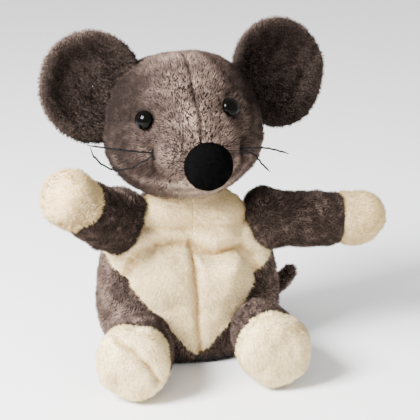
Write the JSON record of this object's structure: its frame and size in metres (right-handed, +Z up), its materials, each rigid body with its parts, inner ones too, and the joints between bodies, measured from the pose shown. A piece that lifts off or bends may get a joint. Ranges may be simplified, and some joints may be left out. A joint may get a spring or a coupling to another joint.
{
  "type": "plush mouse hand puppet",
  "caption": "Seated plush mouse hand puppet with a round stuffed head, cupped ears, soft limbs and a hollow body open at the back for the hand.",
  "frame": {"origin": "centre of the underside of the flat seat panel", "axes": "+Z up, -Y the way the puppet faces, +X the puppet's own left"},
  "size_m": [0.2511, 0.1876, 0.2373],
  "materials": {
    "grey_plush": "short-pile plush, taupe grey, soft sheen",
    "cream_plush": "short-pile plush, cream",
    "chin_plush": "short-pile plush, light taupe",
    "dark_cloth": "woven cloth, dark grey",
    "lining_cloth": "smooth woven lining",
    "wadding": "loose polyester wadding",
    "nose_flock": "matte flocked cloth, black",
    "eye_plastic": "high gloss, black",
    "washer_plastic": "satin",
    "whisker_thread": "stiffened thread, black"
  },
  "bodies": {
    "torso": {"belly_panel_left": "cream_plush", "hip_panel_left": "grey_plush", "back_panel_left": "grey_plush", "belly_panel_right": "cream_plush", "hip_panel_right": "grey_plush", "back_panel_right": "grey_plush", "base_panel": "dark_cloth", "hand_opening_binding": "dark_cloth", "body_lining": "lining_cloth"},
    "neck": {"neck_ring": "grey_plush"},
    "head": {"head_skin_left": "grey_plush", "head_skin_right": "grey_plush", "chin_panel": "chin_plush", "head_stuffing": "wadding", "head_finger_pocket": "lining_cloth", "left_eye": "eye_plastic", "left_eye_washer": "washer_plastic", "right_eye": "eye_plastic", "right_eye_washer": "washer_plastic", "nose": "nose_flock", "nose_washer": "washer_plastic", "left_upper_whisker": "whisker_thread", "left_lower_whisker": "whisker_thread", "right_upper_whisker": "whisker_thread", "right_lower_whisker": "whisker_thread"},
    "left_ear": {"left_ear_back": "grey_plush", "left_ear_front": "grey_plush"},
    "right_ear": {"right_ear_back": "grey_plush", "right_ear_front": "grey_plush"},
    "left_shoulder": {"left_shoulder_gusset": "grey_plush"},
    "left_arm": {"left_arm_sleeve": "grey_plush", "left_paw_cover": "cream_plush", "left_arm_stuffing": "wadding", "left_arm_finger_pocket": "lining_cloth"},
    "right_shoulder": {"right_shoulder_gusset": "grey_plush"},
    "right_arm": {"right_arm_sleeve": "grey_plush", "right_paw_cover": "cream_plush", "right_arm_stuffing": "wadding", "right_arm_finger_pocket": "lining_cloth"},
    "left_leg": {"left_leg_sleeve": "grey_plush", "left_foot_upper": "cream_plush", "left_foot_sole": "cream_plush", "left_leg_stuffing": "wadding"},
    "right_leg": {"right_leg_sleeve": "grey_plush", "right_foot_upper": "cream_plush", "right_foot_sole": "cream_plush", "right_leg_stuffing": "wadding"},
    "tail": {"tail_skin": "grey_plush", "tail_stuffing": "wadding"}
  },
  "joints": [
    {"name": "head_turn", "type": "hinge", "parent": "torso", "child": "neck", "pos_m": [0, -0.004, 0.111], "axis": [0, 0, 1], "range_deg": [-45, 45], "stiffness_Nm_per_rad": 1.6},
    {"name": "head_nod", "type": "hinge", "parent": "neck", "child": "head", "pos_m": [0, -0.004, 0.111], "axis": [1, 0, 0], "range_deg": [-15, 10], "stiffness_Nm_per_rad": 3},
    {"name": "left_ear_fold", "type": "hinge", "parent": "head", "child": "left_ear", "pos_m": [0.04591, 0.00184, 0.18808], "axis": [0.4703, -0.0361, -0.8818], "range_deg": [-15, 30], "stiffness_Nm_per_rad": 0.12},
    {"name": "right_ear_fold", "type": "hinge", "parent": "head", "child": "right_ear", "pos_m": [-0.05375, -0.00411, 0.1889], "axis": [0.4767, 0.0704, 0.8762], "range_deg": [-15, 30], "stiffness_Nm_per_rad": 0.12},
    {"name": "left_arm_swing", "type": "hinge", "parent": "torso", "child": "left_shoulder", "pos_m": [0.051, -0.014, 0.096], "axis": [0, 0, -1], "range_deg": [-25, 35], "stiffness_Nm_per_rad": 0.4},
    {"name": "left_arm_raise", "type": "hinge", "parent": "left_shoulder", "child": "left_arm", "pos_m": [0.051, -0.014, 0.096], "axis": [0.02, -0.9998, 0], "range_deg": [-35, 20], "stiffness_Nm_per_rad": 0.8},
    {"name": "right_arm_swing", "type": "hinge", "parent": "torso", "child": "right_shoulder", "pos_m": [-0.051, -0.014, 0.096], "axis": [0, 0, 1], "range_deg": [-45, 10], "stiffness_Nm_per_rad": 0.4},
    {"name": "right_arm_raise", "type": "hinge", "parent": "right_shoulder", "child": "right_arm", "pos_m": [-0.051, -0.014, 0.096], "axis": [-0.792, 0.6105, 0], "range_deg": [-60, 5], "stiffness_Nm_per_rad": 0.8},
    {"name": "left_leg_lift", "type": "hinge", "parent": "torso", "child": "left_leg", "pos_m": [0.043, -0.049, 0.027], "axis": [-1, 0, 0], "range_deg": [0, 40], "stiffness_Nm_per_rad": 0.5},
    {"name": "right_leg_lift", "type": "hinge", "parent": "torso", "child": "right_leg", "pos_m": [-0.04, -0.057, 0.027], "axis": [-1, 0, 0], "range_deg": [0, 40], "stiffness_Nm_per_rad": 0.5},
    {"name": "tail_swing", "type": "hinge", "parent": "torso", "child": "tail", "pos_m": [0, 0.0485, 0.008], "axis": [0, 0, 1], "range_deg": [-5, 45], "stiffness_Nm_per_rad": 0.1}
  ]
}
